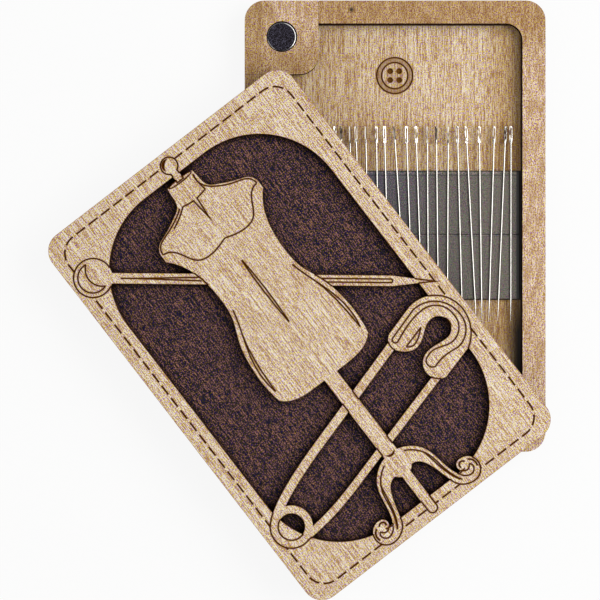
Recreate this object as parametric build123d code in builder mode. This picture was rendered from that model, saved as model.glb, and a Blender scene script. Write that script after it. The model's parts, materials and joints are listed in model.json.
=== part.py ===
# Magnetic needle case: a shallow wooden tray that holds sewing needles on two magnetic sheets,
# under a wooden lid that swings sideways on a hidden pin and clicks shut on two disc magnets.
#
# Frame: millimetres, +Z up, origin at the middle of the tray's underside. +Y points to the tray's
# top edge, beside the lock magnet, and +X to its right edge. The lid is shown swung part way open.

import math
import os

from build123d import *

# Plan of the case, shared by the tray and the lid
case_width = 80.0
case_length = 120.0
corner_radius = 5.3

# Layers, from the table up
base_thickness = 3.0
rail_thickness = 3.0
lid_clearance = 0.2
backing_thickness = 3.0
fretwork_thickness = 3.0

# Rails and corner pads around the needle well
rail_width = 6.1
well_corner_radius = 4.5
pad_side = 19.6
pad_inner_radius = 5.0
glue_seam = 0.06

# Lock magnets in the top left corner and the pivot in the bottom right, from the nearest edges
lock_from_side = 9.9
lock_from_top = 9.6
pivot_from_side = 10.3
pivot_from_bottom = 8.2
magnet_diameter = 8.0
magnet_thickness = 3.0
magnet_rim_radius = 0.45
magnet_play = 0.1
shank_diameter = 5.0
shank_play = 0.05
head_diameter = 8.0
head_thickness = 1.6
head_play = 0.2
head_end_play = 0.15
pin_chamfer = 0.3

# How far the lid is swung open, anticlockwise seen from above
swing_shown = 37.6

# Magnetic sheets, side by side across the well
sheet_thickness = 1.0
upper_sheet_height = 16.6
lower_sheet_height = 17.1
sheet_seam_y = -2.1
sheet_seam = 0.2
sheet_side_play = 0.8
sheet_corner_radius = 0.3
sheet_bevel_depth = 0.15
upper_sheet_bevel = 1.2
lower_sheet_bevel = 0.5

# Needles
needle_length = 52.0
needle_diameter = 0.46
needle_tip_diameter = 0.08
needle_taper_length = 6.0
needle_lift = 0.02
needle_overhang = 12.1
eye_length = 4.6
eye_width = 0.74
eye_thickness = 0.28
eye_hole_length = 2.9
eye_hole_width = 0.4
eye_end = 0.5

# Each needle from left to right: where its eye end lies, in percent of half the well's width, how
# far it leans with its point to the right, and how far its eye has rolled from lying flat, both
# in degrees
needle_rack = [
    (-90.0, 0.7, 20),
    (-82.6, 1.0, 75),
    (-75.5, 0.9, 10),
    (-68.4, 1.3, 35),
    (-61.6, 1.1, 60),
    (-54.2, 1.0, 15),
    (-47.4, 1.1, 30),
    (-42.4, 1.1, 50),
    (-35.6, 1.1, 80),
    (-30.8, 1.7, 0),
    (-23.1, 1.1, 75),
    (-14.7, 0.8, 8),
    (-8.4, 1.5, 15),
    (-0.7, 3.6, 65),
    (8.8, 2.0, 12),
    (16.4, 1.9, 10),
    (25.4, 0.3, 80),
    (32.5, 0.6, 50),
    (41.9, -0.3, 90),
    (49.0, 1.5, 6),
    (55.8, 3.0, 18),
    (66.2, 0.8, 10),
    (78.3, -1.7, 3),
    (87.2, -2.4, 35),
    (91.3, -0.1, 8),
]

# Four-hole button engraved in the floor of the well
button_diameter = 9.6
button_rim = 1.3
button_hole_diameter = 1.5
button_hole_spacing = 2.4

# Engraved lines
line_width = 0.36
line_depth = 0.35
line_runout = 0.05
crescent_width = 0.45

# Window of the lid's fretwork, inside a border
border_left = 5.7
border_right = 6.7
border_top = 6.65
border_bottom = 5.55
window_radius = 23.8

# Running stitch engraved on the border
stitch_inset = 3.1
stitch_corner_radius = 5.4
stitch_pitch = 4.06
stitch_length = 2.85
stitch_width = 0.42

# The lid's figures are drawn on squared paper that covers the lid. Their points are given in
# squares, as (right of the middle line, down from the top edge).
squares_across = 80
squares_down = 120

# Widths and radii of the figures
knob_radius = 2.3
stem_width = 2.0
collar_half_width = 4.15
collar_half_height = 0.75
pole_width = 4.15
hub_radius = 3.25
post_width = 2.7
ball_radius = 5.15
shaft_width = 2.8
shaft_taper = 11.0
slot_half_width = 0.47
coil_radius = 5.65
coil_hole_radius = 3.55
upper_arm_width = 2.35
lower_arm_width = 2.05

# Heights worked out from the layers
rail_top = base_thickness + rail_thickness
lid_bottom = rail_top + lid_clearance
fretwork_bottom = lid_bottom + backing_thickness
lid_top = fretwork_bottom + fretwork_thickness
sheet_top = base_thickness + sheet_thickness

# Places worked out from the plan
well_width = case_width - 2 * rail_width
well_length = case_length - 2 * rail_width
pad_centre = (case_width / 2 - pad_side / 2, case_length / 2 - pad_side / 2)
lock_x = lock_from_side - case_width / 2
lock_y = case_length / 2 - lock_from_top
pivot_x = case_width / 2 - pivot_from_side
pivot_y = pivot_from_bottom - case_length / 2
needle_top_y = sheet_seam_y + sheet_seam / 2 + upper_sheet_height + needle_overhang
button_y = (well_length / 2 + needle_top_y) / 2

os.makedirs("parts", exist_ok=True)


def write(piece, name):
    """Label a finished piece and write its file."""
    piece.part.label = name
    export_step(piece.part, f"parts/{name}.step")


# Base plate: the floor of the well, with a pocket for the pivot pin's head
head_pocket_depth = head_thickness + 2 * head_end_play

with BuildPart() as base_plate:
    with BuildSketch():
        RectangleRounded(case_width, case_length, corner_radius)
    extrude(amount=base_thickness)
    with BuildSketch(Plane.XY.offset(base_thickness)):
        with Locations((pivot_x, pivot_y)):
            Circle(head_diameter / 2 + head_play)
    extrude(amount=-head_pocket_depth, mode=Mode.SUBTRACT)
    with BuildSketch(Plane.XY.offset(base_thickness)):
        with Locations((0, button_y)):
            Circle(button_diameter / 2 + line_width / 2)
            Circle(button_diameter / 2 - line_width / 2, mode=Mode.SUBTRACT)
            Circle(button_diameter / 2 - button_rim + line_width / 2)
            Circle(button_diameter / 2 - button_rim - line_width / 2, mode=Mode.SUBTRACT)
            with GridLocations(button_hole_spacing, button_hole_spacing, 2, 2):
                Circle(button_hole_diameter / 2)
    extrude(amount=-line_depth, mode=Mode.SUBTRACT)
write(base_plate, "base_plate")


# Rails: two L-shaped strips that close the ring between the corner pads
def rail(towards):
    """One rail, kept on the side of the ring that lies towards (+1, +1) or (-1, -1)."""
    reach = pad_side + glue_seam
    with BuildPart() as piece:
        with BuildSketch(Plane.XY.offset(base_thickness)):
            RectangleRounded(case_width, case_length, corner_radius)
            RectangleRounded(well_width, well_length, well_corner_radius, mode=Mode.SUBTRACT)
            with Locations((towards * reach / 2, towards * reach / 2)):
                Rectangle(case_width - reach, case_length - reach, mode=Mode.INTERSECT)
        extrude(amount=rail_thickness)
    return piece


rail_top_right = rail(1)
write(rail_top_right, "rail_top_right")
rail_left_bottom = rail(-1)
write(rail_left_bottom, "rail_left_bottom")


# Corner pads: squares with one rounded inner corner, bored for the magnet or the pin
def corner_pad(side, bore_x, bore_y, bore_diameter):
    """The pad in the top left (side 1) or bottom right (side -1) corner."""
    centre_x = -side * pad_centre[0]
    centre_y = side * pad_centre[1]

    def outwards(vertex):
        return side * (vertex.Y - vertex.X)

    with BuildPart() as piece:
        with BuildSketch(Plane.XY.offset(base_thickness)) as outline:
            with Locations((centre_x, centre_y)):
                Rectangle(pad_side, pad_side)
            fillet(outline.vertices().sort_by(outwards)[-1], corner_radius)
            fillet(outline.vertices().sort_by(outwards)[0], pad_inner_radius)
            with Locations((bore_x, bore_y)):
                Circle(bore_diameter / 2, mode=Mode.SUBTRACT)
        extrude(amount=rail_thickness)
    return piece


lock_pad = corner_pad(1, lock_x, lock_y, magnet_diameter + 2 * magnet_play)
write(lock_pad, "lock_pad")
pivot_pad = corner_pad(-1, pivot_x, pivot_y, shank_diameter + 2 * shank_play)
write(pivot_pad, "pivot_pad")

# Tray lock magnet: a disc with a rounded rim, on the base plate and flush with the lock pad
with BuildPart() as tray_lock_magnet:
    with BuildSketch(Plane.XY.offset(base_thickness)):
        with Locations((lock_x, lock_y)):
            Circle(magnet_diameter / 2)
    extrude(amount=magnet_thickness)
    fillet(tray_lock_magnet.edges().filter_by(GeomType.CIRCLE), magnet_rim_radius)
write(tray_lock_magnet, "tray_lock_magnet")


# Magnetic sheets: flat strips on the floor of the well, each with its top edge pressed down
def magnet_sheet(low_y, height, bevel):
    """One strip from low_y up, as wide as the well less its play."""
    high_y = low_y + height
    with BuildPart() as piece:
        with BuildSketch(Plane.YZ):
            with BuildLine():
                Polyline(
                    (low_y, base_thickness),
                    (high_y, base_thickness),
                    (high_y, sheet_top - sheet_bevel_depth),
                    (high_y - bevel, sheet_top),
                    (low_y, sheet_top),
                    close=True,
                )
            make_face()
        extrude(amount=well_width / 2 - sheet_side_play, both=True)
        fillet(piece.edges().filter_by(Axis.Z), sheet_corner_radius)
    return piece


upper_magnet_sheet = magnet_sheet(sheet_seam_y + sheet_seam / 2, upper_sheet_height,
                                  upper_sheet_bevel)
write(upper_magnet_sheet, "upper_magnet_sheet")
lower_magnet_sheet = magnet_sheet(sheet_seam_y - sheet_seam / 2 - lower_sheet_height,
                                  lower_sheet_height, lower_sheet_bevel)
write(lower_magnet_sheet, "lower_magnet_sheet")


# Needles: a tapered shaft and a flattened eye end, lying on the sheets with the points down
def needle(place, lean, roll):
    """One needle, drawn along its own -Y from the eye end."""
    top_x = place / 100 * well_width / 2
    height = sheet_top + needle_lift + needle_diameter / 2
    lying = Plane(Location((top_x, needle_top_y, height), (0, 0, lean)))
    rolled = Plane(lying.location * Location((0, 0, 0), (0, roll, 0)))
    radius = needle_diameter / 2
    shaft_start = -(eye_end + eye_hole_length)
    with BuildPart() as piece:
        with BuildSketch(lying):
            with BuildLine():
                Polyline(
                    (0, shaft_start),
                    (radius, shaft_start - radius),
                    (radius, needle_taper_length - needle_length),
                    (needle_tip_diameter / 2, -needle_length),
                    (0, -needle_length),
                    close=True,
                )
            make_face()
        revolve(axis=Axis(lying.origin, lying.y_dir))
        with BuildSketch(rolled):
            with Locations((0, -eye_length / 2)):
                SlotOverall(eye_length, eye_width, rotation=90)
        extrude(amount=eye_thickness / 2, both=True)
        with BuildSketch(rolled):
            with Locations((0, -eye_end - eye_hole_length / 2)):
                SlotOverall(eye_hole_length, eye_hole_width, rotation=90)
        extrude(amount=eye_width, both=True, mode=Mode.SUBTRACT)
    return piece


for number, (place, lean, roll) in enumerate(needle_rack, start=1):
    write(needle(place, lean, roll), f"needle_{number:02d}")

# The lid's pieces are drawn as they lie when the lid is closed, then swung about the pivot
lid_swing = Location((pivot_x, pivot_y, 0), (0, 0, swing_shown))
lid_swing = lid_swing * Location((-pivot_x, -pivot_y, 0))


def lid_plane(height):
    """The swung lid's drawing plane at a height above the table."""
    return Plane(lid_swing * Location((0, 0, height)))


# Pivot pin: its head turns in the base plate's pocket, its shank is fast in the lid's backing
head_bottom = base_thickness - head_pocket_depth + head_end_play

with BuildPart() as pivot_pin:
    with BuildSketch(lid_plane(head_bottom)):
        with Locations((pivot_x, pivot_y)):
            Circle(head_diameter / 2)
    extrude(amount=head_thickness)
    chamfer(pivot_pin.edges().filter_by(GeomType.CIRCLE).sort_by(Axis.Z)[0], pin_chamfer)
    with BuildSketch(lid_plane(head_bottom + head_thickness)):
        with Locations((pivot_x, pivot_y)):
            Circle(shank_diameter / 2)
    extrude(amount=fretwork_bottom - head_bottom - head_thickness)
    chamfer(pivot_pin.edges().filter_by(GeomType.CIRCLE).sort_by(Axis.Z)[-1], pin_chamfer)
write(pivot_pin, "pivot_pin")

# Lid backing: the dark plate that covers the well, bored for the pin and the lid's magnet
with BuildPart() as lid_backing:
    with BuildSketch(lid_plane(lid_bottom)):
        RectangleRounded(case_width, case_length, corner_radius)
        with Locations((pivot_x, pivot_y)):
            Circle(shank_diameter / 2, mode=Mode.SUBTRACT)
        with Locations((lock_x, lock_y)):
            Circle(magnet_diameter / 2 + magnet_play, mode=Mode.SUBTRACT)
    extrude(amount=backing_thickness)
write(lid_backing, "lid_backing")

# Lid lock magnet: glued under the fretwork, flush with the backing, over the tray's magnet when
# the lid is closed
with BuildPart() as lid_lock_magnet:
    with BuildSketch(lid_plane(fretwork_bottom - magnet_thickness)):
        with Locations((lock_x, lock_y)):
            Circle(magnet_diameter / 2)
    extrude(amount=magnet_thickness)
    fillet(lid_lock_magnet.edges().filter_by(GeomType.CIRCLE), magnet_rim_radius)
write(lid_lock_magnet, "lid_lock_magnet")


# Drawing aids for the lid's figures, each taking points of the squared paper
def on_lid(right, down):
    """Where a point of the drawing falls on the closed lid."""
    return (right / squares_across * case_width, (0.5 - down / squares_down) * case_length)


def curve(*points):
    """A smooth curve."""
    return Spline(*(on_lid(*point) for point in points))


def straight(*points):
    """Straight lines, end to end."""
    return Polyline(*(on_lid(*point) for point in points))


def arc(start, through, end):
    """An arc through three points."""
    return ThreePointArc(on_lid(*start), on_lid(*through), on_lid(*end))


def bar(width, top, bottom):
    """A filled upright bar on the middle line."""
    low = on_lid(0, bottom)[1]
    high = on_lid(0, top)[1]
    with Locations((0, (low + high) / 2)):
        Rectangle(width, high - low)


def disc(right, down, radius):
    """A filled circle."""
    with Locations(on_lid(right, down)):
        Circle(radius)


def length_along(path, place):
    """How far along a path its nearest point to a place is."""
    nearest = path.closest_points(Vertex(*place))[0]
    return path.param_at_point(nearest) * path.length


# The border: the lid's outline less its window
window_width = case_width - border_left - border_right
window_length = case_length - border_top - border_bottom
window_centre = ((border_left - border_right) / 2, (border_bottom - border_top) / 2)

with BuildSketch() as border:
    RectangleRounded(case_width, case_length, corner_radius)
    with Locations(window_centre):
        RectangleRounded(window_width, window_length, window_radius, mode=Mode.SUBTRACT)

# Running stitch: dashes along a rounded path, each run from one figure to the next
stitch_runs = [
    ((2.0, 3.1), (36.9, 75.0)),
    ((36.9, 86.0), (16.0, 116.9)),
    ((10.6, 116.9), (-10.4, 116.9)),
    ((-16.05, 116.9), (-36.9, 102.0)),
    ((-36.9, 96.0), (-36.9, 20.2)),
    ((-36.9, 11.0), (-2.4, 3.1)),
]
stitch_x = case_width / 2 - stitch_inset
stitch_y = case_length / 2 - stitch_inset

with BuildLine() as stitch_path:
    FilletPolyline(
        (stem_width / 2, stitch_y),
        (stitch_x, stitch_y),
        (stitch_x, -stitch_y),
        (-stitch_x, -stitch_y),
        (-stitch_x, stitch_y),
        (-stem_width / 2, stitch_y),
        radius=stitch_corner_radius,
    )

with BuildSketch() as stitches:
    path = stitch_path.wire()
    for first, last in stitch_runs:
        start = length_along(path, on_lid(*first))
        end = length_along(path, on_lid(*last))
        while start < end:
            dash = path.trim(start / path.length, min(start + stitch_length, end) / path.length)
            trace(dash, stitch_width)
            start += stitch_pitch

# Ball-headed pin: a round head and a shaft that tapers to its point
ball = (-33.9, 14.95)
point = (36.8, 70.45)
ball_x, ball_y = on_lid(*ball)
point_x, point_y = on_lid(*point)
shaft_length = math.hypot(point_x - ball_x, point_y - ball_y)
shaft_plane = Plane((ball_x, ball_y, 0), x_dir=(point_x - ball_x, point_y - ball_y, 0))
engraved_from = 7.3
engraved_split = 11.5
engraved_to = 28.6
slot_from = 57.0
slot_end = shaft_length - shaft_taper - slot_half_width

with BuildSketch(shaft_plane) as ball_pin_shaft:
    with BuildLine():
        Polyline(
            (0, shaft_width / 2),
            (shaft_length - shaft_taper, shaft_width / 2),
            (shaft_length, 0),
            (shaft_length - shaft_taper, -shaft_width / 2),
            (0, -shaft_width / 2),
            close=True,
        )
    make_face()

with BuildSketch() as ball_pin:
    disc(*ball, ball_radius)
    add(ball_pin_shaft.sketch)

with BuildSketch(shaft_plane) as shaft_lines:
    with BuildLine():
        Line((engraved_from, 0), (engraved_split, 0))
    trace(line_width=line_width)
    for side in (-1, 1):
        with BuildLine():
            Line((engraved_split, 0), (engraved_to, side * slot_half_width))
        trace(line_width=line_width)
        with BuildLine():
            Line((slot_from, side * slot_half_width), (slot_end, side * slot_half_width))
        trace(line_width=line_width)
    with BuildLine():
        ThreePointArc((slot_end, slot_half_width), (slot_end + slot_half_width, 0),
                      (slot_end, -slot_half_width))
    trace(line_width=line_width)

with BuildSketch() as ball_pin_lines:
    add(shaft_lines.sketch)
    with BuildLine():
        arc((-33.3, 11.0), (-37.9, 14.9), (-32.6, 18.6))
    trace(line_width=line_width)
    with BuildLine():
        arc((-33.3, 11.0), (-35.05, 14.6), (-32.6, 18.6))
    trace(line_width=line_width)

# Safety pin: a wire that runs from a coil in two arms to the clasp
coil = (-32.45, 98.75)

with BuildSketch() as safety_pin:
    disc(*coil, coil_radius)
    with BuildLine():
        curve((-35.0, 94.9), (-30.6, 92.25), (-26.0, 90.2), (-16.0, 86.75), (-2.4, 82.8))
        straight((-2.4, 82.8), (20.0, 76.3))
    trace(line_width=upper_arm_width)
    with BuildLine():
        curve((-31.4, 103.2), (-27.0, 102.95), (-21.0, 102.15), (-12.0, 100.05), (-2.4, 97.4))
        straight((-2.4, 97.4), (23.0, 90.55))
    trace(line_width=lower_arm_width)
    with Locations(on_lid(*coil)):
        Circle(coil_hole_radius, mode=Mode.SUBTRACT)

with BuildSketch() as clasp:
    with BuildLine():
        straight((18.9, 74.2), (27.3, 71.8))
        arc((27.3, 71.8), (35.9, 74.6), (38.3, 81.3))
        arc((38.3, 81.3), (37.1, 85.7), (33.3, 89.75))
        straight((33.3, 89.75), (23.9, 92.3))
        arc((23.9, 92.3), (20.6, 89.3), (23.1, 84.25))
        curve((23.1, 84.25), (25.2, 83.9), (27.6, 84.1), (29.9, 84.3))
        arc((29.9, 84.3), (33.45, 81.05), (29.9, 77.8))
        curve((29.9, 77.8), (27.3, 78.8), (24.9, 80.6), (22.1, 81.5), (19.2, 80.3), (17.3, 77.9))
        curve((17.3, 77.9), (17.4, 75.8), (18.9, 74.2))
    make_face()

with BuildSketch() as clasp_lines:
    with BuildLine():
        straight((19.2, 75.55), (27.8, 73.0))
        arc((27.8, 73.0), (34.6, 75.5), (36.9, 81.1))
        arc((36.9, 81.1), (35.3, 86.0), (31.1, 88.0))
        curve((31.1, 88.0), (27.6, 87.65), (25.2, 87.85), (23.4, 88.4))
        arc((23.4, 88.4), (22.0, 86.9), (23.6, 85.0))
        curve((23.6, 85.0), (25.7, 84.65), (27.9, 85.25), (30.6, 85.95))
        arc((30.6, 85.95), (34.3, 84.3), (35.5, 80.6))
        arc((35.5, 80.6), (33.6, 76.0), (29.0, 74.5))
        curve((29.0, 74.5), (24.7, 75.2), (21.1, 76.5), (19.4, 77.2))
        arc((19.4, 77.2), (18.4, 76.4), (19.2, 75.55))
    trace(line_width=line_width)
    with BuildLine():
        straight((20.4, 79.6), (26.6, 77.9))
    trace(line_width=line_width)
    with BuildLine():
        curve((26.6, 77.9), (24.5, 79.55), (22.3, 80.45), (20.4, 79.6))
    trace(line_width=line_width)

# Dress form: neck, shoulder, side and hem on the right half, mirrored to the left
neck = [(4.15, 8.6), (4.35, 11.0), (5.0, 13.7), (7.6, 15.5), (11.4, 17.35), (14.8, 18.8), (16.1, 20.8)]
side = [(16.15, 23.4), (13.7, 26.5), (11.6, 31.7), (10.7, 39.5), (11.4, 46.0), (13.8, 52.0),
        (15.2, 58.8), (15.5, 64.0), (14.75, 70.5)]
hem = [(14.75, 70.5), (12.2, 72.4), (7.9, 73.4), (0.0, 73.7)]

# Legs of its stand: the outer and the inner edge, down to a scrolled foot
leg_outer = [(2.0, 99.4), (5.2, 100.8), (7.9, 103.8), (9.1, 107.9), (9.75, 111.5), (11.0, 114.7)]
leg_inner = [(2.6, 104.9), (4.8, 105.7), (6.5, 108.4), (7.4, 111.2), (8.3, 114.3)]
foot_under = [(8.3, 114.3), (9.4, 116.7), (11.0, 117.9), (13.7, 118.45)]
curl_in = [(12.25, 114.5), (11.6, 113.2), (13.3, 111.55)]
curl_out = [(13.3, 111.55), (16.95, 114.6), (13.7, 118.45)]

with BuildSketch() as dress_form:
    with BuildLine():
        straight((0.0, 8.6), neck[0])
        curve(*neck)
        straight(neck[-1], side[0])
        curve(*side)
        curve(*hem)
        mirror(about=Plane.YZ)
    make_face()
    with Locations(on_lid(0, 8.6)):
        Ellipse(collar_half_width, collar_half_height)
    bar(pole_width, 73.0, 102.0)
    bar(post_width, 102.0, 117.35)
    disc(0, 117.35, post_width / 2)
    disc(0, 103.15, hub_radius)
    with BuildLine():
        straight((0.0, 99.4), leg_outer[0])
        curve(*leg_outer)
        straight(leg_outer[-1], curl_in[0])
        arc(*curl_in)
        arc(*curl_out)
        curve(*foot_under)
        curve(*leg_inner)
        straight(leg_inner[0], (0.0, 104.9), (0.0, 99.4))
    make_face()
    mirror(about=Plane.YZ)

# Lines on the right half of the dress form and its stand, mirrored to the left
bust = [(15.5, 21.4), (13.0, 22.5), (11.3, 25.0), (9.0, 28.2), (5.5, 29.0), (2.0, 28.4), (0.0, 27.75)]
front_dart = [(0.05, 35.1), (0.3, 40.0), (0.4, 45.0), (0.3, 50.5), (0.05, 55.5)]
side_dart = [(9.85, 44.1), (12.0, 51.2), (14.0, 58.0), (14.55, 64.0), (14.0, 68.0)]
side_dart_inner = [(12.0, 51.2), (13.35, 58.0), (13.85, 64.0), (14.0, 68.0)]
leg_line = [(3.25, 100.9), (5.5, 102.4), (7.8, 105.8), (8.6, 109.8), (9.75, 114.2), (10.8, 116.3)]
leg_line_inner = [(7.2, 104.6), (7.9, 108.2), (8.8, 112.4), (10.4, 115.9)]
curl_lip = [(12.25, 114.5), (13.6, 115.05), (14.75, 114.1)]
curl_lens = [(14.75, 114.1), (15.25, 115.3), (14.2, 116.5), (12.4, 116.2), (11.2, 114.9)]
curl_crescents = [
    [(15.1, 112.9), (16.3, 114.4), (16.15, 115.8)],
    [(14.1, 112.9), (13.2, 112.3), (12.45, 113.6)],
]

with BuildSketch() as right_lines:
    with BuildLine():
        straight(*front_dart)
    trace(line_width=line_width)
    for points in (bust, side_dart, side_dart_inner, leg_line, leg_line_inner, curl_lip, curl_lens):
        with BuildLine():
            curve(*points)
        trace(line_width=line_width)
    for points in curl_crescents:
        with BuildLine():
            arc(*points)
        trace(line_width=crescent_width)

# Lines that differ from side to side: the collar, its seams and the mark at the pole's foot
with BuildSketch() as dress_form_lines:
    add(right_lines.sketch)
    mirror(right_lines.sketch, about=Plane.YZ)
    with Locations(on_lid(0, 8.5)):
        Ellipse(collar_half_width - line_width, collar_half_height)
        Ellipse(collar_half_width - 2 * line_width, collar_half_height - line_width,
                mode=Mode.SUBTRACT)
    with BuildLine():
        curve((-3.7, 14.5), (-2.6, 14.75), (-0.55, 14.95))
        straight((-0.55, 14.95), (0.1, 20.7), (0.65, 14.95))
        curve((0.65, 14.95), (2.3, 14.7), (3.8, 14.4))
    trace(line_width=line_width)
    with BuildLine():
        curve((3.8, 14.4), (3.45, 12.0), (3.6, 9.3))
    trace(line_width=line_width)
    with BuildLine():
        curve((3.6, 9.3), (4.4, 13.7), (6.8, 15.7), (11.0, 17.7), (14.4, 19.1), (15.55, 21.4))
    trace(line_width=line_width)
    with BuildLine():
        curve((-4.7, 14.4), (-7.1, 15.9), (-11.4, 17.7), (-14.6, 19.1), (-15.55, 21.4))
    trace(line_width=line_width)
    with BuildLine():
        curve((-3.7, 14.5), (-6.1, 16.2), (-9.1, 17.7))
    trace(line_width=line_width)
    with BuildLine():
        arc((-1.4, 99.0), (0.0, 100.1), (1.4, 99.0))
        arc((-1.4, 99.0), (0.0, 99.5), (1.4, 99.0))
    make_face()

# Knob and stem on top of the dress form
with BuildSketch() as knob:
    disc(0, 3.75, knob_radius)
    bar(stem_width, 3.75, 8.6)

with BuildSketch() as knob_lines:
    with BuildLine():
        arc((-1.6, 4.4), (-1.75, 2.7), (0.7, 2.0))
        arc((-1.6, 4.4), (-1.05, 3.1), (0.7, 2.0))
    make_face()

def engraved_outline(figure, wood):
    """A line along a figure's outline where it lies on wood, run out over the wood's edge."""
    stretches = ShapeList()
    for edge in figure.edges():
        for stretch in edge.intersect(wood) or []:
            stretches.extend(stretch.edges())
    with BuildSketch() as outline:
        for chain in Wire.combine(stretches):
            trace(chain, line_width)
            if not chain.is_closed:
                with Locations(chain @ 0, chain @ 1):
                    Circle(line_width / 2 + line_runout)
    return outline.sketch


# Each figure is laid over the plate so far: it hides the lines below it, and its own outline is
# engraved wherever it lies on wood
plate = border.sketch
lines = stitches.sketch
lid_figures = [
    (ball_pin.sketch, ball_pin_lines.sketch),
    (safety_pin.sketch, None),
    (clasp.sketch, clasp_lines.sketch),
    (dress_form.sketch, dress_form_lines.sketch),
    (knob.sketch, knob_lines.sketch),
]
for figure, details in lid_figures:
    lines = lines - figure + engraved_outline(figure, plate)
    plate = plate + figure
    if details:
        lines = lines + details

# Lid fretwork: the border and its figures cut from one plate, with the lines engraved on top
with BuildPart() as lid_fretwork:
    with BuildSketch(lid_plane(fretwork_bottom)):
        add(plate)
    extrude(amount=fretwork_thickness)
    with BuildSketch(lid_plane(lid_top)):
        add(lines)
    extrude(amount=-line_depth, mode=Mode.SUBTRACT)
write(lid_fretwork, "lid_fretwork")
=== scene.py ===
import json
import math

import bmesh
import bpy
from bpy.props import FloatProperty, FloatVectorProperty, PointerProperty
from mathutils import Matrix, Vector


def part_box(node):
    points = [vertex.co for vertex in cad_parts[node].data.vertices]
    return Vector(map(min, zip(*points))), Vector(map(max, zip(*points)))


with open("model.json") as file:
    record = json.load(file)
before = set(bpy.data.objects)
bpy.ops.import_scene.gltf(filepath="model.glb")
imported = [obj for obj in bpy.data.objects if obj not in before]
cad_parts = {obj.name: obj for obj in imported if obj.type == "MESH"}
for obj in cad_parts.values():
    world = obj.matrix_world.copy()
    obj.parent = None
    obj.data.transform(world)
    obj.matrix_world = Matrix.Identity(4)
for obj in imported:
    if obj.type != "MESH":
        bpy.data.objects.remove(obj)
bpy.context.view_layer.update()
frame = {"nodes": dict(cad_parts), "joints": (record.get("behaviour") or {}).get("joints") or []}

bl_info = {
    "name": "Magnetic needle case",
    "version": (1, 0, 0),
    "blender": (4, 5, 0),
    "location": "3D view > Sidebar > Needle case",
    "description": "Finishes the wood and metal of a magnetic needle case and sets up its stage",
    "category": "Material",
}

mm = 0.001

# Heights and ends of the pieces that the finishes are measured from
lid_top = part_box("lid_fretwork")[1].z
backing_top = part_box("lid_backing")[1].z
floor_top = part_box("base_plate")[1].z
rail_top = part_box("rail_top_right")[1].z
sheet_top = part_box("upper_magnet_sheet")[1].z
sheet_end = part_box("upper_magnet_sheet")[1].x
sheets_y = (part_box("lower_magnet_sheet")[0].y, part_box("upper_magnet_sheet")[1].y)
eye_length = 4.6 * mm
eye_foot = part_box("needle_10")[1].y - eye_length
ply_sheet = 3.0 * mm

# The lid is shown swung this far, and its grain turns with it
lid_turn = -math.radians(frame["joints"][0]["range_deg"][0])


def linear(hex_colour):
    """An sRGB hex colour as Blender's linear red, green, blue and alpha."""
    parts = [int(hex_colour[i:i + 2], 16) / 255 for i in (1, 3, 5)]
    curve = [p / 12.92 if p <= 0.04045 else ((p + 0.055) / 1.055) ** 2.4 for p in parts]
    return (*curve, 1.0)


def grey(value):
    """A plain grey, for masks and tints."""
    return (value, value, value, 1.0)


def colour(name, description, hex_colour):
    """A colour that a user would change."""
    return FloatVectorProperty(
        name=name, description=description, default=linear(hex_colour), size=4,
        min=0.0, max=1.0, subtype="COLOR",
    )


def length(name, description, millimetres):
    """A length that a user would change."""
    return FloatProperty(
        name=name, description=description, default=millimetres * mm, min=0.0,
        precision=5, unit="LENGTH",
    )


# Birch fibres are some 0.03 mm wide, too fine to show, so each hair stands for a bundle of them
class LidFinish(bpy.types.PropertyGroup):
    """Woods of the lid."""

    birch: colour("Birch", "Sanded birch face of the fretwork", "#e3c19a")
    birch_pale: colour("Birch, pale grain", "Pale early wood between the grain lines", "#fff2dc")
    birch_dark: colour("Birch, dark grain", "Late wood in the grain lines", "#ab8040")
    stain: colour("Stain", "Dark stained birch behind the fretwork", "#2a140f")
    stain_pale: colour("Stain, worn grain", "Raised grain that took less stain", "#a47463")
    stain_dark: colour("Stain, open grain", "Open grain full of stain", "#100504")
    char: colour("Laser char", "Burnt walls of the cuts", "#1c0f07")
    hair_width: length("Grain width", "Width of one hair of the grain", 0.2)
    hair_length: length("Grain length", "Length of one hair of the grain", 2.2)


class TrayFinish(bpy.types.PropertyGroup):
    """Woods of the tray."""

    rail: colour("Rail", "Birch of the rails and corner pads", "#dfba90")
    rail_pale: colour("Rail, pale", "Pale flecks of the rails", "#fbe6d0")
    rail_dark: colour("Rail, dark", "Brown flecks and patches of the rails", "#a0702c")
    floor: colour("Floor", "Birch of the floor of the well", "#ddba90")
    floor_pale: colour("Floor, pale grain", "Pale grain of the floor", "#fff0da")
    floor_dark: colour("Floor, dark grain", "Dark grain of the floor", "#a57a36")
    char: colour("Laser char", "Burnt walls of the cuts", "#1c0f07")
    hair_width: length("Grain width", "Width of one hair of the grain", 0.2)
    hair_length: length("Grain length", "Length of one hair of the grain", 2.2)


class MetalFinish(bpy.types.PropertyGroup):
    """Sheets, magnets, needles and pin."""

    sheet: colour("Magnetic sheet", "Ferrite-filled rubber", "#6a6259")
    # Painted reflection and highlight: the face colour stands for the dark camera mirrored overhead,
    # and the rim colour is a painted highlight
    nickel: colour("Magnet face", "Black nickel plate", "#262227")
    rim_highlight: colour("Magnet rim", "Plate worn bright at the rim", "#f1efea")
    needle: colour("Needle", "Nickel-plated steel", "#dad7d0")
    pin: colour("Pin", "Zinc-plated steel", "#b9bcc0")


class StageSettings(bpy.types.PropertyGroup):
    """Floor, light and camera."""

    paper: colour("Paper", "White paper under the case", "#f4f4f2")
    dome: FloatProperty(
        name="Dome light", description="Even light from all round", default=0.42, min=0.0,
    )
    key: FloatProperty(
        name="Key light", description="Share of light from the soft box on the right",
        default=0.58, min=0.0,
    )
    lens: FloatProperty(
        name="Lens", description="Focal length on a 36 mm sensor", default=143.5, min=1.0,
    )
    camera_height: length("Camera height", "Height of the camera above the table", 642.0)


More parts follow.
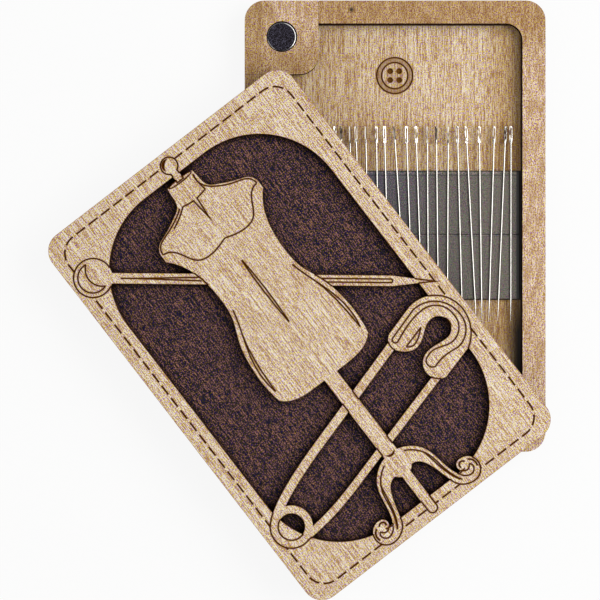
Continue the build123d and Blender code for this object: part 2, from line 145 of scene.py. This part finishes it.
def add(tree, kind, feeds=None, stops=(), **settings):
    """Adds one node with its settings, its colour stops and what feeds its sockets."""
    made = tree.nodes.new("ShaderNode" + kind)
    for setting, value in settings.items():
        setattr(made, setting, value)
    for number, (place, shade) in enumerate(stops):
        elements = made.color_ramp.elements
        stop = elements[number] if number < len(elements) else elements.new(place)
        stop.position = place
        stop.color = shade
    for socket, feed in (feeds or {}).items():
        if isinstance(feed, bpy.types.NodeSocket):
            tree.links.new(feed, made.inputs[socket])
        else:
            made.inputs[socket].default_value = feed
    return made


def blank(name):
    """A new material, its empty node tree, and the place on the piece that its patterns follow."""
    material = bpy.data.materials.new(name)
    material.use_nodes = True
    tree = material.node_tree
    tree.nodes.clear()
    return material, tree, add(tree, "TexCoord").outputs["Object"]


def finish(material, *names):
    """Puts a material on every slot of the named parts of the case."""
    for name in names:
        for slot in frame["nodes"][name].material_slots:
            slot.material = material


def mottled(tree, place, size, detail, level=0.0, turn=0.0, distortion=0.0):
    """Random mottling whose patches have the given width, length and height, seen at one level."""
    stretched = add(tree, "Mapping", {
        "Vector": place, "Location": (0.0, 0.0, level), "Rotation": (0.0, 0.0, turn), "Scale": size,
    }, vector_type="TEXTURE").outputs[0]
    return add(tree, "TexNoise", {
        "Vector": stretched, "Scale": 1.0, "Detail": detail, "Distortion": distortion,
    }).outputs["Fac"]


def stained(tree, base, shade, bounds, way="MIX"):
    """A colour with a stain laid over it, as strong as all the bounds together leave it.

    Each bound is a measure, its values where the stain begins and where it is full, and the
    strengths there, where they aren't 0 and 1.
    """
    strength = None
    for measure, begins, full, *shares in bounds:
        least, most = shares or (0.0, 1.0)
        share = add(tree, "MapRange", {
            "Value": measure, "From Min": begins, "From Max": full, "To Min": least, "To Max": most,
        }).outputs[0]
        if strength is None:
            strength = share
        else:
            strength = add(tree, "Math", {0: strength, 1: share}, operation="MULTIPLY").outputs[0]
    return add(tree, "Mix", {0: strength, 6: base, 7: shade},
               data_type="RGBA", blend_type=way).outputs[2]


def rings(tree, place, centre, reach, stops):
    """Rings of colour round a centre, with their stops as shares of the reach."""
    away = add(tree, "VectorMath", {0: place, 1: centre}, operation="DISTANCE").outputs["Value"]
    share = add(tree, "MapRange", {"Value": away, "From Max": reach}).outputs[0]
    return add(tree, "ValToRGB", {"Fac": share}, stops).outputs["Color"]


def plywood(name, shades, char, hair, top, turn=0.0, middle=0.5, spread=0.058, flecked=0.36,
            streaky=0.48, speckle=0.42, patches=0.0, patch_size=(6.0 * mm, 30.0 * mm), mark=None,
            toasted=0.6, scorched=("#381803", "#78430a"), corner_shade_reach=0.0, shine=0.5):
    """Laser-cut birch plywood: fine grain on its faces, and burnt walls that show three plies.

    The grain goes from the darkest of its shades through the first to the palest, over a spread on
    both sides of a middle value of its pattern. Shares of that pattern are short flecks and long
    streaks, and the rest is hairs of one width and length. Resin speckles it, broad patches darken
    it, and a mark adds what one piece alone has. The laser toasts the wood beside its cuts and leaves
    its lines scorched from dark to pale, and painted shade darkens the wood within reach of inner
    corners.
    """
    material, tree, place = blank(name)
    face, pale, dark = shades
    width, along = hair
    toast_reach = 0.2 * mm
    line_begins = 0.06 * mm
    line_full = 0.16 * mm
    raised_grain = 0.02 * mm

    # A laser's ripples are some 0.15 mm wide, and are drawn wide enough to show
    ripple_size = (0.35 * mm, 0.35 * mm, 5.0 * mm)

    # Hairs of the grain, the long streaks that they lie in, the short flecks between them, the
    # fibres that take more or less resin, and the broad figure
    hairs, streaks, flecks, fibres, figure = (
        mottled(tree, place, (across, lengthwise, across), detail, top, turn, distortion)
        for across, lengthwise, detail, distortion in (
            (width, along, 1.0, 0.0),
            (width * 1.4, along * 5.0, 1.0, 0.0),
            (width * 1.2, width * 1.6, 0.0, 0.0),
            (width * 1.15, width * 2.5, 1.0, 0.0),
            (*patch_size, 3.0, 0.4),
        )
    )
    grain = add(tree, "Mix", {0: streaky, 2: hairs, 3: streaks}).outputs[0]
    grain = add(tree, "Mix", {0: flecked, 2: grain, 3: flecks}).outputs[0]
    wood = add(tree, "ValToRGB", {"Fac": grain}, [
        (middle - spread, dark), (middle, face), (middle + spread, pale),
    ]).outputs["Color"]

    # Resin and bare fibre: every fibre a little more ochre or more lilac than the next
    resin = add(tree, "VectorMath", {
        0: fibres, 1: (1.0, 1.1, -2.4), 2: (0.0, -0.05, 1.7),
    }, operation="MULTIPLY_ADD").outputs[0]
    wood = add(tree, "Mix", {0: speckle, 6: wood, 7: resin},
               data_type="RGBA", blend_type="LINEAR_LIGHT", clamp_result=True).outputs[2]
    wood = stained(tree, wood, dark, [(figure, 0.42, 0.62, 0.0, patches)])
    if mark:
        wood = mark(tree, place, wood)

    # Wood toasted by the laser beside every cut and engraved line
    cut = add(tree, "AmbientOcclusion", {"Distance": toast_reach}, samples=8, inside=True)
    wood = stained(tree, wood, linear("#96560f"), [(cut.outputs["AO"], 0.97, 0.75, 0.0, toasted)])

    # Engraved lines, scorched from a little below the face
    level = add(tree, "SeparateXYZ", {"Vector": place}).outputs["Z"]
    lines = add(tree, "MapRange", {
        "Value": level, "From Min": top - line_begins, "From Max": top - line_full,
    }).outputs[0]
    scorch = add(tree, "Mix", {
        0: flecks, 6: linear(scorched[0]), 7: linear(scorched[1]),
    }, data_type="RGBA").outputs[2]
    wood = add(tree, "Mix", {0: lines, 6: wood, 7: scorch}, data_type="RGBA").outputs[2]

    # Burnt walls: two plies with the grain, one across it, and the laser's upright ripples
    ply = add(tree, "MapRange", {
        "Value": level, "From Min": top - ply_sheet, "From Max": top,
    }).outputs[0]
    plies = add(tree, "ValToRGB", {"Fac": ply}, [
        (0.00, linear("#4a2f1c")), (0.31, linear("#5a3b25")), (0.335, linear("#160c06")),
        (0.36, linear("#3a2415")), (0.64, linear("#3a2415")), (0.665, linear("#160c06")),
        (0.69, linear("#5a3b25")), (1.00, linear("#3a2415")),
    ]).outputs["Color"]
    ripple = mottled(tree, place, ripple_size, 1.0)
    rippled = stained(tree, plies, char, [(ripple, 0.35, 0.65)])
    facing = add(tree, "SeparateXYZ", {"Vector": add(tree, "NewGeometry").outputs["True Normal"]})
    flatness = add(tree, "Math", {0: facing.outputs["Z"]}, operation="ABSOLUTE").outputs[0]
    wall = add(tree, "MapRange", {"Value": flatness, "From Min": 0.8, "From Max": 0.4}).outputs[0]
    wood = add(tree, "Mix", {0: wall, 6: wood, 7: rippled}, data_type="RGBA").outputs[2]
    burnt = add(tree, "Math", {0: lines, 1: wall}, operation="MAXIMUM").outputs[0]

    # Painted shade in the inner corners, under the cut walls: the wood is darkened towards the char
    # colour where ambient occlusion finds a corner
    if corner_shade_reach:
        corner = add(tree, "AmbientOcclusion", {"Distance": corner_shade_reach}, samples=8).outputs["AO"]
        corner_shade = add(tree, "MapRange", {
            "Value": corner, "From Min": 0.85, "From Max": 0.4, "To Min": 0.0, "To Max": 0.95,
        }).outputs[0]
        wood = add(tree, "Mix", {0: corner_shade, 6: wood, 7: char}, data_type="RGBA").outputs[2]
        burnt = add(tree, "Math", {0: burnt, 1: corner_shade}, operation="MAXIMUM").outputs[0]

    # Char is matt, and so is the painted corner shade: both lose the little shine of the sanded wood
    gloss = add(tree, "MapRange", {"Value": burnt, "To Min": shine, "To Max": 0.0}).outputs[0]
    bump = add(tree, "Bump", {"Height": grain, "Distance": raised_grain, "Strength": 0.5}).outputs[0]
    roughness = add(tree, "MapRange", {"Value": grain, "To Min": 0.62, "To Max": 0.78}).outputs[0]
    shader = add(tree, "BsdfPrincipled", {
        "Base Color": wood, "Roughness": roughness, "Normal": bump, "IOR": 1.45,
        "Specular IOR Level": gloss,
    })
    add(tree, "OutputMaterial", {"Surface": shader.outputs[0]})
    return material


def pin_knot(tree, place, wood):
    """The small dead knot in the top rail, with its pale ring, and the browner wood along that rail."""
    knot = (-11.6 * mm, 57.6 * mm, rail_top)
    knot_reach = 2.0 * mm
    along = add(tree, "SeparateXYZ", {"Vector": place}).outputs["Y"]
    wood = stained(tree, wood, linear("#dccfb1"), [(along, 42.0 * mm, 53.0 * mm)], "MULTIPLY")
    knotted = rings(tree, place, knot, knot_reach, [
        (0.10, grey(0.05)), (0.24, grey(0.4)), (0.36, grey(0.75)), (0.55, grey(1.0)),
    ])
    return add(tree, "Mix", {0: 1.0, 6: wood, 7: knotted},
               data_type="RGBA", blend_type="MULTIPLY").outputs[2]


def browner_corner(tree, place, wood):
    """The lock's corner, browner along its outer side and lower end."""
    parts = add(tree, "SeparateXYZ", {"Vector": place})
    lower, outer = (
        add(tree, "MapRange", {"Value": measure, "From Min": begins, "From Max": full}).outputs[0]
        for measure, begins, full in (
            (parts.outputs["Y"], 55.0 * mm, 43.0 * mm),
            (parts.outputs["X"], -30.0 * mm, -36.0 * mm),
        )
    )
    brown = add(tree, "Math", {0: lower, 1: outer}, operation="MAXIMUM").outputs[0]
    return add(tree, "Mix", {0: brown, 6: wood, 7: linear("#d9cfb4")},
               data_type="RGBA", blend_type="MULTIPLY").outputs[2]


def well_floor(tree, place, wood):
    """The floor of the well, browner in places and with painted shade along its walls and sheets, and
    the button engraved in it.
    """
    well_side = 33.9 * mm
    well_end = 53.9 * mm
    button = (0.0, 40.3 * mm, floor_top)
    button_reach = 6.0 * mm
    parts = add(tree, "SeparateXYZ", {"Vector": place})
    along = parts.outputs["Y"]
    across = add(tree, "Math", {0: parts.outputs["X"]}, operation="ABSOLUTE").outputs[0]
    from_wall = add(tree, "Math", {
        0: add(tree, "Math", {0: well_side, 1: across}, operation="SUBTRACT").outputs[0],
        1: add(tree, "Math", {0: well_end, 1: along}, operation="SUBTRACT").outputs[0],
    }, operation="MINIMUM").outputs[0]
    sheets_middle = sum(sheets_y) / 2
    sheets_half = (sheets_y[1] - sheets_y[0]) / 2
    from_middle = add(tree, "Math", {
        0: add(tree, "Math", {0: along, 1: sheets_middle}, operation="SUBTRACT").outputs[0],
    }, operation="ABSOLUTE").outputs[0]

    # In order: browner towards the upper left, browner under the needles, painted shade from the rails
    # towards the long sides, deep painted shade against the long sides below the sheets, a painted dark
    # line of shade at the foot of the long walls and the upper one, and painted shadow in the narrow
    # gap along both edges of the sheets
    for shade, way, bounds in (
        ("#ebe4d6", "MULTIPLY", [(parts.outputs["X"], 14.0 * mm, -20.0 * mm)]),
        ("#efe8da", "MULTIPLY", [(along, 29.0 * mm, 27.0 * mm), (along, -34.0 * mm, -30.0 * mm)]),
        ("#dfd1b4", "MULTIPLY", [(across, 22.5 * mm, 28.5 * mm)]),
        ("#150a02", "MIX", [
            (across, 28.8 * mm, 33.0 * mm), (along, -17.0 * mm, -21.0 * mm),
            (along, -21.0 * mm, -28.0 * mm, 0.55, 1.0),
        ]),
        ("#2a1404", "MIX", [(from_wall, 0.45 * mm, 0.15 * mm)]),
        ("#1a1210", "MIX", [(from_middle, sheets_half + 0.4 * mm, sheets_half + 0.25 * mm)]),
    ):
        wood = stained(tree, wood, linear(shade), bounds, way)
    toast = rings(tree, place, button, button_reach, [
        (0.20, grey(0.25)), (0.45, grey(0.10)), (0.59, grey(0.10)), (0.61, grey(0.55)),
        (0.78, grey(0.6)), (0.84, grey(0.12)), (0.92, grey(0.0)),
    ])
    return add(tree, "Mix", {0: toast, 6: wood, 7: linear("#7d5327")},
               data_type="RGBA").outputs[2]


def magnetic_sheet(look):
    """Ferrite-filled rubber sheet, rolled and sliced: matt grey with faint roller lines."""
    material, tree, place = blank("Rolled magnetic sheet")
    roller_line = (0.4 * mm, 12.0 * mm, 1.0 * mm)
    slope_depth = 0.15 * mm

    # Grains of ferrite are a few thousandths of a millimetre, far too fine to show, so the grit is
    # drawn as coarse as it needs to be seen
    grit_size = 0.25 * mm
    grit_height = 0.01 * mm

    # Darker and cooler towards the lid, with the rollers' lines and the grit over that
    parts = add(tree, "SeparateXYZ", {"Vector": place})
    along_case = add(tree, "MapRange", {
        "Value": parts.outputs["X"], "From Min": -6.0 * mm, "From Max": 28.0 * mm,
    }).outputs[0]
    tone = add(tree, "ValToRGB", {"Fac": along_case}, [
        (0.0, linear("#524d59")), (0.5, linear("#605954")), (1.0, look.sheet),
    ]).outputs["Color"]
    lines = add(tree, "ValToRGB", {"Fac": mottled(tree, place, roller_line, 2.0)}, [
        (0.3, grey(0.72)), (0.7, grey(1.0)),
    ]).outputs["Color"]
    rubber = add(tree, "Mix", {0: 0.7, 6: tone, 7: lines},
                 data_type="RGBA", blend_type="MULTIPLY").outputs[2]
    grit = add(tree, "TexNoise", {"Vector": place, "Scale": 1.0 / grit_size, "Detail": 1.0})
    grains = add(tree, "Mix", {0: 0.6, 6: grit.outputs["Color"], 7: grit.outputs["Fac"]},
                 data_type="RGBA").outputs[2]
    rubber = add(tree, "Mix", {0: 0.36, 6: rubber, 7: grains},
                 data_type="RGBA", blend_type="LINEAR_LIGHT", clamp_result=True).outputs[2]

    # Painted light and shade on the pressed edge: its bevel is painted pale, with a painted dark line
    # where the bevel starts. The short ends are painted near black, as painted shade at the walls
    down_slope = add(tree, "MapRange", {
        "Value": parts.outputs["Z"], "From Min": sheet_top - slope_depth, "From Max": sheet_top,
    }).outputs[0]
    slope_light_and_shade = add(tree, "ValToRGB", {"Fac": down_slope}, [
        (0.0, grey(0.85)), (0.15, grey(0.66)), (0.55, grey(0.66)), (0.7, grey(0.15)),
        (0.9, grey(0.15)), (0.97, grey(0.5)),
    ]).outputs["Color"]
    rubber = add(tree, "Mix", {0: 0.85, 6: rubber, 7: slope_light_and_shade},
                 data_type="RGBA", blend_type="OVERLAY").outputs[2]
    across = add(tree, "Math", {0: parts.outputs["X"]}, operation="ABSOLUTE").outputs[0]
    rubber = stained(tree, rubber, linear("#0c0908"), [
        (across, sheet_end - 0.9 * mm, sheet_end - 0.5 * mm),
    ])
    bump = add(tree, "Bump", {
        "Height": grit.outputs["Fac"], "Distance": grit_height, "Strength": 0.5,
    }).outputs[0]
    shader = add(tree, "BsdfPrincipled", {
        "Base Color": rubber, "Roughness": 0.55, "IOR": 1.5, "Normal": bump,
    })
    add(tree, "OutputMaterial", {"Surface": shader.outputs[0]})
    return material


def nickel_with_painted_reflections(name, look):
    """Nickel-plated neodymium, tumbled: a dark speckled face and a bright rim, both painted.

    The face's dark colour is a painted reflection of the dark camera overhead, and the thin bright ring
    is a painted highlight on the rim.
    """
    material, tree, place = blank("Nickel with painted reflections, " + name)
    highlight_shift = Vector((-0.12 * mm, -0.08 * mm, 0.0))

    # The pits that tumbling leaves are some 0.05 mm wide, and are drawn coarse enough to show
    speck_size = 0.22 * mm

    # Painted highlight on the rim: bright along a wide part of its right side and a narrow part of its
    # lower left
    low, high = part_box(name)
    from_centre = add(tree, "VectorMath", {0: place, 1: (low + high) / 2 + highlight_shift},
                      operation="SUBTRACT").outputs[0]
    outward = add(tree, "VectorMath", {0: from_centre, 1: (1.0, 1.0, 0.0)},
                  operation="MULTIPLY").outputs[0]
    radius = add(tree, "VectorMath", {0: outward}, operation="LENGTH").outputs["Value"]
    direction = add(tree, "VectorMath", {0: outward}, operation="NORMALIZE").outputs[0]
    right_side, left_side = (
        add(tree, "MapRange", {
            "Value": add(tree, "VectorMath", {0: direction, 1: side},
                         operation="DOT_PRODUCT").outputs["Value"],
            "From Min": begins, "From Max": full, "To Min": 0.12,
        }).outputs[0]
        for side, begins, full in (
            ((0.97, 0.24, 0.0), 0.35, 0.7),
            ((-0.77, -0.64, 0.0), 0.85, 0.97),
        )
    )
    sides = add(tree, "Math", {0: right_side, 1: left_side}, operation="MAXIMUM").outputs[0]
    near_rim = add(tree, "MapRange", {
        "Value": radius, "From Min": 3.2 * mm, "From Max": 4.2 * mm,
    }).outputs[0]
    ring = add(tree, "ValToRGB", {"Fac": near_rim}, [
        (0.40, grey(0.0)), (0.46, grey(1.0)), (0.56, grey(1.0)), (0.62, grey(0.0)),
    ]).outputs["Color"]
    # Mask of the painted rim highlight
    worn = add(tree, "Math", {0: ring, 1: sides}, operation="MULTIPLY").outputs[0]
    speck = add(tree, "TexNoise", {
        "Vector": place, "Scale": 1.0 / speck_size, "Detail": 2.0,
    }).outputs["Fac"]
    face = add(tree, "ValToRGB", {"Fac": speck}, [
        (0.36, linear("#0e0c0c")), (0.52, look.nickel), (0.72, linear("#5c5a6c")),
    ]).outputs["Color"]
    plate = add(tree, "Mix", {0: worn, 6: face, 7: look.rim_highlight}, data_type="RGBA").outputs[2]
    roughness = add(tree, "MapRange", {"Value": speck, "To Min": 0.2, "To Max": 0.4}).outputs[0]
    shader = add(tree, "BsdfPrincipled", {
        "Base Color": plate, "Metallic": 1.0, "Roughness": roughness,
    })
    add(tree, "OutputMaterial", {"Surface": shader.outputs[0]})
    return material


def needle_steel(look):
    """Nickel-plated carbon steel, drawn and polished: bright, with faint lines along the shaft.

    The eye carries painted glints, patches of it painted bright and dark, and the left flank
    is painted dark as a painted reflection of the shade in the well.
    """
    material, tree, place = blank("Polished needle steel")
    glint_patch_size = (0.3 * mm, 1.6 * mm, 0.3 * mm)
    eye_blend = 0.5 * mm

    # The lines that drawing leaves are some 0.01 mm wide, and are drawn wide enough to show
    drawn_line = (0.08 * mm, 3.0 * mm, 0.08 * mm)
    shaft = add(tree, "ValToRGB", {"Fac": mottled(tree, place, drawn_line, 1.0)}, [
        (0.3, linear("#c4c1ba")), (0.6, look.needle),
    ]).outputs["Color"]
    # Painted glints: the eye's colour is painted in bright and dark patches
    eye = add(tree, "ValToRGB", {"Fac": mottled(tree, place, glint_patch_size, 0.0)}, [
        (0.36, linear("#69645c")), (0.44, linear("#b4afa6")), (0.52, linear("#f4f1ec")),
    ]).outputs["Color"]
    along = add(tree, "SeparateXYZ", {"Vector": place}).outputs["Y"]
    stamped = add(tree, "MapRange", {
        "Value": along, "From Min": eye_foot - eye_blend, "From Max": eye_foot + eye_blend,
    }).outputs[0]
    steel = add(tree, "Mix", {0: stamped, 6: shaft, 7: eye}, data_type="RGBA").outputs[2]
    # Painted reflection of the shade in the well: the flank turned to the left is painted dark
    facing = add(tree, "SeparateXYZ", {"Vector": add(tree, "NewGeometry").outputs["Normal"]})
    turned_right = add(tree, "MapRange", {"Value": facing.outputs["X"], "From Min": -1.0}).outputs[0]
    painted_flank_shade = add(tree, "ValToRGB", {"Fac": turned_right}, [
        (0.1, grey(0.06)), (0.25, grey(0.16)), (0.36, grey(1.0)),
    ]).outputs["Color"]
    steel = add(tree, "Mix", {0: 1.0, 6: steel, 7: painted_flank_shade},
                data_type="RGBA", blend_type="MULTIPLY").outputs[2]
    roughness = add(tree, "MapRange", {"Value": stamped, "To Min": 0.2, "To Max": 0.3}).outputs[0]
    shader = add(tree, "BsdfPrincipled", {
        "Base Color": steel, "Metallic": 1.0, "Roughness": roughness,
    })
    add(tree, "OutputMaterial", {"Surface": shader.outputs[0]})
    return material


def pin_steel(look):
    """Zinc-plated steel, turned: soft grey with rings round the axis."""
    material, tree, place = blank("Turned zinc-plated steel")
    tool_mark = (4.0 * mm, 4.0 * mm, 0.1 * mm)
    turned = mottled(tree, place, tool_mark, 2.0)
    zinc = add(tree, "ValToRGB", {"Fac": turned}, [
        (0.3, linear("#9a9da2")), (0.7, look.pin),
    ]).outputs["Color"]
    roughness = add(tree, "MapRange", {"Value": turned, "To Min": 0.3, "To Max": 0.5}).outputs[0]
    shader = add(tree, "BsdfPrincipled", {
        "Base Color": zinc, "Metallic": 1.0, "Roughness": roughness,
    })
    add(tree, "OutputMaterial", {"Surface": shader.outputs[0]})
    return material


def sees_white(tree):
    """1 for rays that see the background: the camera's, and those off or through a piece."""
    path = add(tree, "LightPath")
    seen = path.outputs["Is Camera Ray"]
    for kind in ("Is Glossy Ray", "Is Transmission Ray"):
        seen = add(tree, "Math", {0: seen, 1: path.outputs[kind]}, operation="MAXIMUM").outputs[0]
    return seen


def lay_paper(scene, look):
    """White paper: white to the camera and in the metal, with a faint shadow of the case."""
    shown_white = 0.9
    reach = 4.0

    # Paper fibres are some 0.02 mm wide, too fine to show, so a soft mottle stands for their mat
    fibre_size = 2.0 * mm
    material, tree, place = blank("White paper")
    fibre = add(tree, "TexNoise", {"Vector": place, "Scale": 1.0 / fibre_size}).outputs["Fac"]
    paper = add(tree, "BsdfPrincipled", {
        "Base Color": add(tree, "ValToRGB", {"Fac": fibre}, [
            (0.3, linear("#f0f0ee")), (0.7, look.paper),
        ]).outputs["Color"],
        "Roughness": 0.9,
    })
    share = add(tree, "Math", {0: sees_white(tree), 1: shown_white}, operation="MULTIPLY").outputs[0]
    white = add(tree, "Emission", {"Color": grey(1.0), "Strength": 1.0})
    both = add(tree, "MixShader", {0: share, 1: paper.outputs[0], 2: white.outputs[0]})
    add(tree, "OutputMaterial", {"Surface": both.outputs[0]})
    mesh = bpy.data.meshes.new("paper")
    shape = bmesh.new()
    bmesh.ops.create_grid(shape, x_segments=8, y_segments=8, size=reach)
    shape.to_mesh(mesh)
    shape.free()
    mesh.materials.append(material)
    floor = bpy.data.objects.new("paper_floor", mesh)
    scene.collection.objects.link(floor)


def raise_dome(scene, look):
    """Even white light from all round."""
    world = bpy.data.worlds.new("White dome")
    world.use_nodes = True
    tree = world.node_tree
    tree.nodes.clear()
    dome = add(tree, "Background", {"Color": grey(1.0), "Strength": look.dome})
    white = add(tree, "Background", {"Color": grey(1.0), "Strength": 1.0})
    both = add(tree, "MixShader", {0: sees_white(tree), 1: dome.outputs[0], 2: white.outputs[0]})
    add(tree, "OutputWorld", {"Surface": both.outputs[0]})
    scene.world = world


def hang_soft_box(scene, look):
    """One large soft box from the right, as strong as its share says on level faces."""
    distance = 0.9
    bearing = math.radians(12)
    rise = math.radians(43)
    towards = Vector((
        math.cos(bearing) * math.cos(rise), math.sin(bearing) * math.cos(rise), math.sin(rise),
    ))
    lamp = bpy.data.lights.new("Soft box", "AREA")
    lamp.shape = "RECTANGLE"
    lamp.size = 0.9
    lamp.size_y = 0.62
    lamp.energy = math.pi ** 2 * look.key * distance ** 2 / math.sin(rise)
    soft_box = bpy.data.objects.new("Soft box", lamp)
    soft_box.location = towards * distance
    soft_box.rotation_mode = "QUATERNION"
    soft_box.rotation_quaternion = towards.to_track_quat("Z", "Y")
    scene.collection.objects.link(soft_box)


def place_camera(scene, look):
    """Camera straight above the middle of the picture, looking down."""
    picture_middle = (-25.29 * mm, -19.65 * mm)
    camera = bpy.data.cameras.new("Camera")
    camera.lens = look.lens
    camera.sensor_width = 36.0
    camera.clip_start = 10.0 * mm
    camera_object = bpy.data.objects.new("Camera", camera)
    camera_object.location = (*picture_middle, look.camera_height)
    scene.collection.objects.link(camera_object)
    scene.camera = camera_object


class NEEDLECASE_OT_lid(bpy.types.Operator):
    """Finish the fretwork and the stained plate behind it"""

    bl_idname = "needlecase.lid"
    bl_label = "Lid woods"

    def execute(self, context):
        look = context.scene.needlecase_lid
        hair = (look.hair_width, look.hair_length)
        # Birch plywood, sanded and laser cut: pale, with hairline grain and burnt brown edges
        finish(plywood(
            "Sanded birch plywood", (look.birch, look.birch_pale, look.birch_dark), look.char,
            hair, lid_top, lid_turn, patches=0.12,
        ), "lid_fretwork")
        # The same plywood in a dark water stain: purple-brown, with paler hairs where grain rose
        finish(plywood(
            "Dark stained birch plywood", (look.stain, look.stain_pale, look.stain_dark), look.char,
            hair, backing_top, lid_turn, middle=0.54, spread=0.037, flecked=0.42, streaky=0.36,
            # The backing gets painted shade within 2.2 mm of its inner corners
            speckle=0.1, corner_shade_reach=2.2 * mm, shine=0.15,
        ), "lid_backing")
        return {"FINISHED"}


class NEEDLECASE_OT_tray(bpy.types.Operator):
    """Finish the base, the rails and the corner pads"""

    bl_idname = "needlecase.tray"
    bl_label = "Tray woods"

    def execute(self, context):
        look = context.scene.needlecase_tray
        # Birch plywood, sanded and laser cut: hairline grain down the floor of the well
        finish(plywood(
            "Birch plywood base", (look.floor, look.floor_pale, look.floor_dark), look.char,
            (look.hair_width, look.hair_length), floor_top, spread=0.076, flecked=0.28,
            patches=0.15, mark=well_floor, scorched=("#4e2c0c", "#7e5420"),
        ), "base_plate")
        # The same, browned by handling: mottled rather than streaked, sanded clean after gluing,
        # with one pin knot on top and a corner that is browner along its outer side and lower end
        for name, mark, nodes in (
            ("Handled birch plywood, knotty", pin_knot, ["rail_top_right"]),
            ("Handled birch plywood, browner corner", browner_corner, ["lock_pad", "rail_left_bottom"]),
            ("Handled birch plywood", None, ["pivot_pad"]),
        ):
            finish(plywood(
                name, (look.rail, look.rail_pale, look.rail_dark), look.char,
                (look.hair_width, look.hair_width * 4.0), rail_top, spread=0.07, flecked=0.4,
                speckle=0.38, patches=0.45, patch_size=(2.2 * mm, 5.0 * mm), mark=mark, toasted=0.0,
            ), *nodes)
        return {"FINISHED"}


class NEEDLECASE_OT_metal(bpy.types.Operator):
    """Finish the sheets, the magnets, the needles and the pin"""

    bl_idname = "needlecase.metal"
    bl_label = "Sheets, magnets, needles and pin"

    def execute(self, context):
        look = context.scene.needlecase_metal
        finish(magnetic_sheet(look), "upper_magnet_sheet", "lower_magnet_sheet")
        for name in ("tray_lock_magnet", "lid_lock_magnet"):
            finish(nickel_with_painted_reflections(name, look), name)
        finish(needle_steel(look), *(name for name in frame["nodes"] if name.startswith("needle_")))
        finish(pin_steel(look), "pivot_pin")
        return {"FINISHED"}


class NEEDLECASE_OT_stage(bpy.types.Operator):
    """Set up the white floor, the soft light and the camera"""

    bl_idname = "needlecase.stage"
    bl_label = "Floor, light and camera"

    def execute(self, context):
        look = context.scene.needlecase_stage
        for build in (lay_paper, raise_dome, hang_soft_box, place_camera):
            build(context.scene, look)
        context.scene.view_settings.view_transform = "Standard"
        return {"FINISHED"}


class NEEDLECASE_PT_sidebar(bpy.types.Panel):
    """Lists the finishes and the stage"""

    bl_idname = "NEEDLECASE_PT_sidebar"
    bl_label = "Needle case"
    bl_space_type = "VIEW_3D"
    bl_region_type = "UI"
    bl_category = "Needle case"

    def draw(self, context):
        for group, operator in panel_rows:
            box = self.layout.box()
            box.operator(operator)
            look = getattr(context.scene, group)
            for name in look.__annotations__:
                box.prop(look, name)


panel_rows = (
    ("needlecase_lid", "needlecase.lid"),
    ("needlecase_tray", "needlecase.tray"),
    ("needlecase_metal", "needlecase.metal"),
    ("needlecase_stage", "needlecase.stage"),
)
groups = (
    ("needlecase_lid", LidFinish),
    ("needlecase_tray", TrayFinish),
    ("needlecase_metal", MetalFinish),
    ("needlecase_stage", StageSettings),
)
operators = (
    NEEDLECASE_OT_lid,
    NEEDLECASE_OT_tray,
    NEEDLECASE_OT_metal,
    NEEDLECASE_OT_stage,
    NEEDLECASE_PT_sidebar,
)


def register():
    for name, group in groups:
        bpy.utils.register_class(group)
        setattr(bpy.types.Scene, name, PointerProperty(type=group))
    for kind in operators:
        bpy.utils.register_class(kind)


def unregister():
    for kind in reversed(operators):
        bpy.utils.unregister_class(kind)
    for name, group in reversed(groups):
        delattr(bpy.types.Scene, name)
        bpy.utils.unregister_class(group)


def main():
    register()
    bpy.ops.needlecase.lid()
    bpy.ops.needlecase.tray()
    bpy.ops.needlecase.metal()
    bpy.ops.needlecase.stage()


if __name__ == "__main__":
    main()
